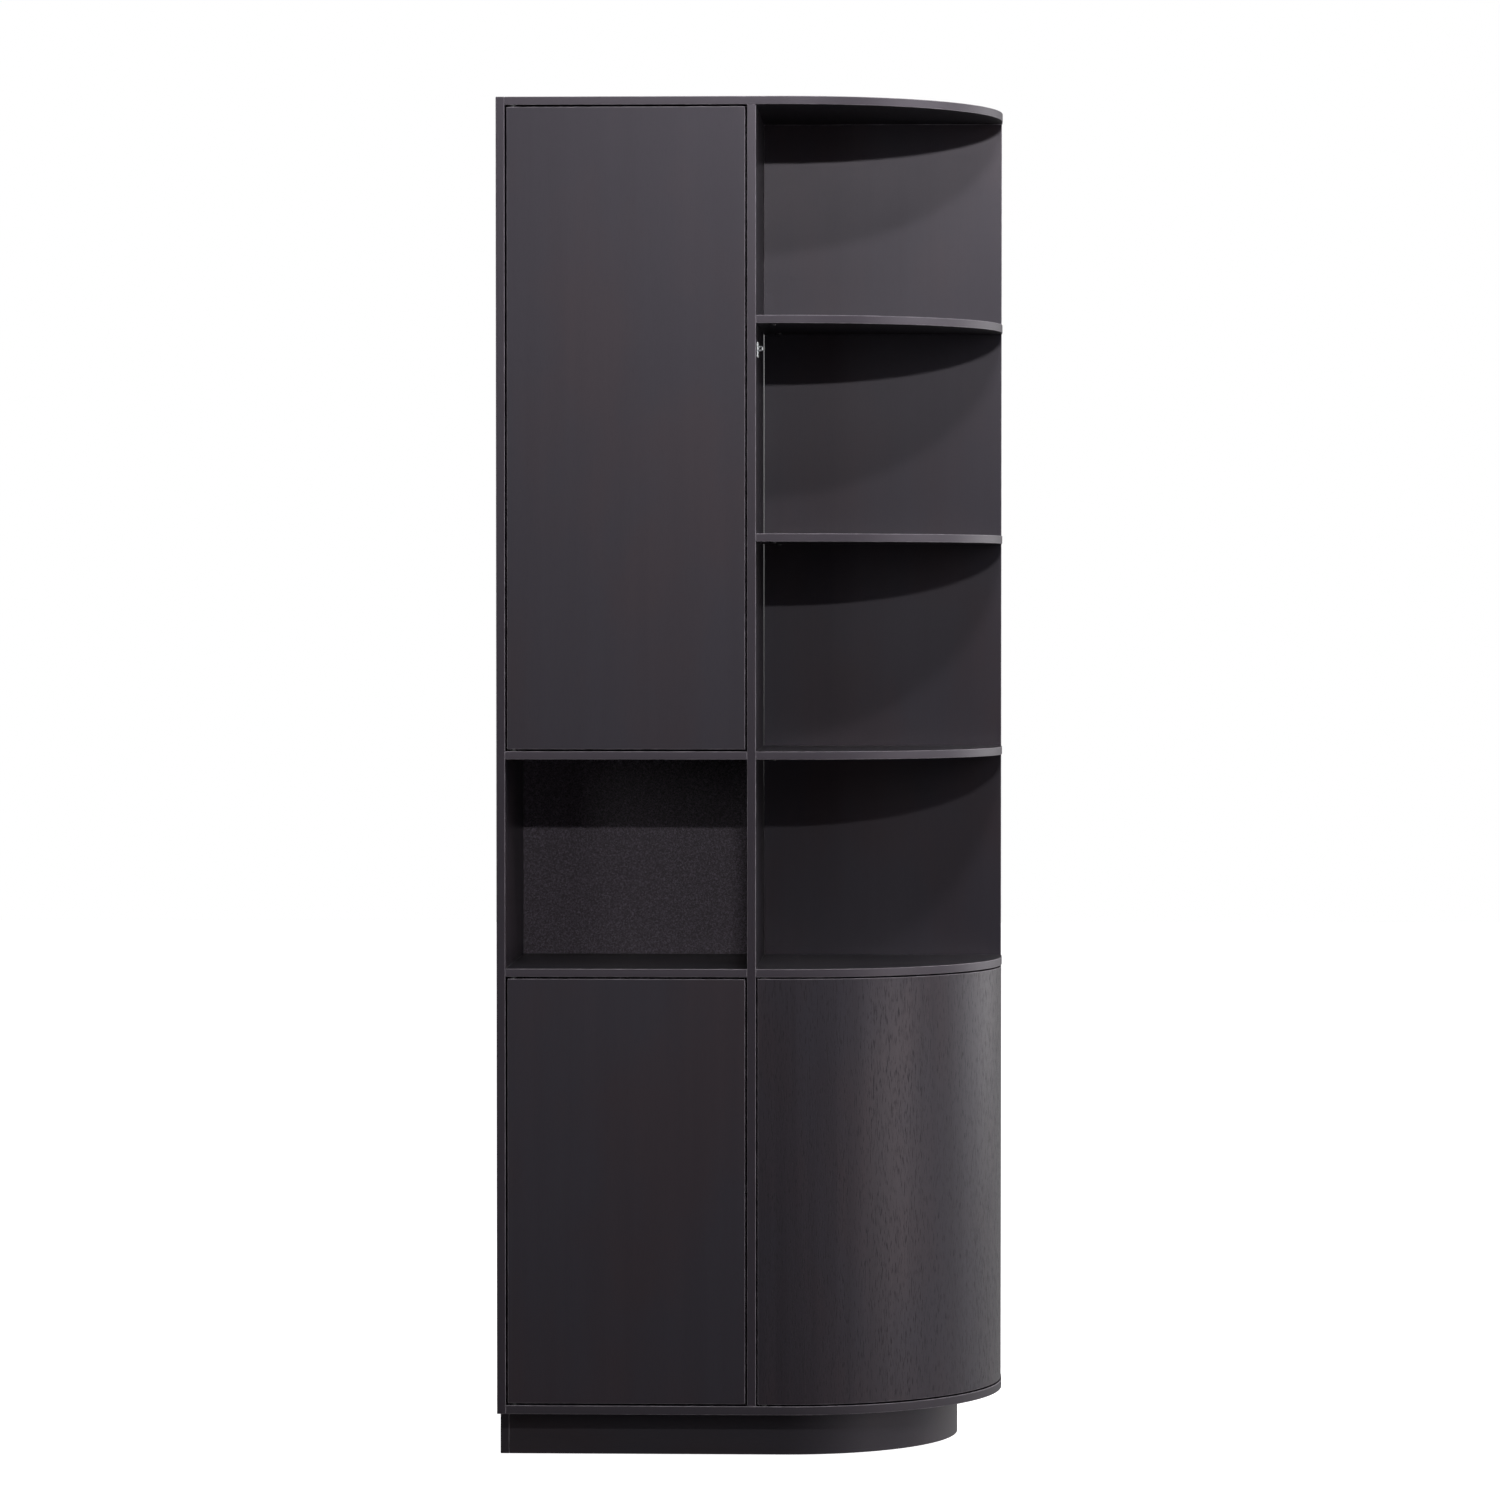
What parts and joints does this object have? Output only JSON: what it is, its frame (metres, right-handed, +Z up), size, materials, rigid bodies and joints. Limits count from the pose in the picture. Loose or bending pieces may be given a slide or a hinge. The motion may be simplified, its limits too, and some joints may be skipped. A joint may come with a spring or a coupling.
{
  "type": "storage and display cabinet",
  "caption": "Tall black-brown wooden cabinet with flush push-open doors, an open cubby, open quarter-round shelves and a curved lower door at its rounded right end.",
  "frame": {"origin": "middle of the cabinet's footprint box on the floor", "axes": "+Z up, front towards -Y, rounded end towards +X"},
  "size_m": [0.8, 0.4, 2.15],
  "materials": {
    "black_stained_boards": "black-brown satin stain",
    "black_back_board": "black painted hardboard",
    "black_plinth_boards": "black satin stain",
    "black_stained_doors": "black-brown satin stain",
    "black_stained_veneer": "black-brown satin stain, open grain",
    "beech": "raw",
    "zinc_screws": "zinc plated",
    "zinc_connectors": "die cast, zinc plated",
    "cap_plastic": "satin",
    "nickel": "nickel plated",
    "black_steel": "powder coated",
    "nylon": "satin",
    "pin_steel": "bright drawn",
    "striker_steel": "nickel plated",
    "latch_plastic": "moulded",
    "plunger_steel": "nickel plated",
    "spring_steel": "bright"
  },
  "bodies": {
    "carcass": {"left_side_panel": "black_stained_boards", "middle_divider": "black_stained_boards", "top_board": "black_stained_boards", "bottom_board": "black_stained_boards", "right_shelf_1": "black_stained_boards", "right_shelf_2": "black_stained_boards", "right_shelf_3": "black_stained_boards", "right_shelf_4": "black_stained_boards", "left_shelf_upper": "black_stained_boards", "left_shelf_lower": "black_stained_boards", "left_back_panel": "black_back_board", "right_back_panel": "black_stained_boards", "loose_shelf_high": "black_stained_boards", "loose_shelf_mid": "black_stained_boards", "loose_shelf_low": "black_stained_boards", "loose_shelf_round": "black_stained_boards", "plinth_skirt": "black_plinth_boards", "plinth_left_board": "black_plinth_boards", "plinth_back_board": "black_plinth_boards", "plinth_cross_rail": "black_plinth_boards", "plinth_glue_blocks": "beech", "plinth_screws": "zinc_screws", "cam_discs": "zinc_connectors", "cam_caps": "cap_plastic", "cam_bolts": "zinc_connectors", "dowels": "beech", "shelf_pins": "nickel", "back_panel_screws": "zinc_screws", "wall_brackets": "black_steel", "bracket_screws": "zinc_screws", "eye_plate": "nickel", "eye_plate_screws": "nickel", "hinge_bushes": "nylon", "upper_latch_housing": "latch_plastic", "lower_latch_housing": "latch_plastic", "round_latch_housing": "latch_plastic", "latch_screws": "zinc_screws"},
    "upper_door": {"upper_door": "black_stained_doors", "upper_door_pins": "pin_steel", "upper_striker": "striker_steel", "upper_striker_screws": "zinc_screws"},
    "lower_door": {"lower_door": "black_stained_doors", "lower_door_pins": "pin_steel", "lower_striker": "striker_steel", "lower_striker_screws": "zinc_screws"},
    "round_door": {"round_door": "black_stained_veneer", "round_door_pins": "pin_steel", "round_striker": "striker_steel", "round_striker_screws": "zinc_screws"},
    "upper_plunger": {"upper_latch_plunger": "plunger_steel", "upper_latch_spring": "spring_steel"},
    "lower_plunger": {"lower_latch_plunger": "plunger_steel", "lower_latch_spring": "spring_steel"},
    "round_plunger": {"round_latch_plunger": "plunger_steel", "round_latch_spring": "spring_steel"}
  },
  "joints": [
    {"name": "upper_door_hinge", "type": "hinge", "parent": "carcass", "child": "upper_door", "pos_m": [-0.374, -0.1925, 1.121], "axis": [0, 0, -1], "range_deg": [0, 105]},
    {"name": "lower_door_hinge", "type": "hinge", "parent": "carcass", "child": "lower_door", "pos_m": [-0.374, -0.1925, 0.087], "axis": [0, 0, -1], "range_deg": [0, 105]},
    {"name": "round_door_hinge", "type": "hinge", "parent": "carcass", "child": "round_door", "pos_m": [0.021, -0.1925, 0.087], "axis": [0, 0, -1], "range_deg": [0, 100]},
    {"name": "upper_latch_press", "type": "slide", "parent": "carcass", "child": "upper_plunger", "axis": [0, 1, 0], "range_m": [0, 0.003], "stiffness_N_per_m": 400, "springref_m": -0.002},
    {"name": "lower_latch_press", "type": "slide", "parent": "carcass", "child": "lower_plunger", "axis": [0, 1, 0], "range_m": [0, 0.003], "stiffness_N_per_m": 400, "springref_m": -0.002},
    {"name": "round_latch_press", "type": "slide", "parent": "carcass", "child": "round_plunger", "axis": [-1, 0, 0], "range_m": [0, 0.003], "stiffness_N_per_m": 400, "springref_m": -0.002}
  ]
}
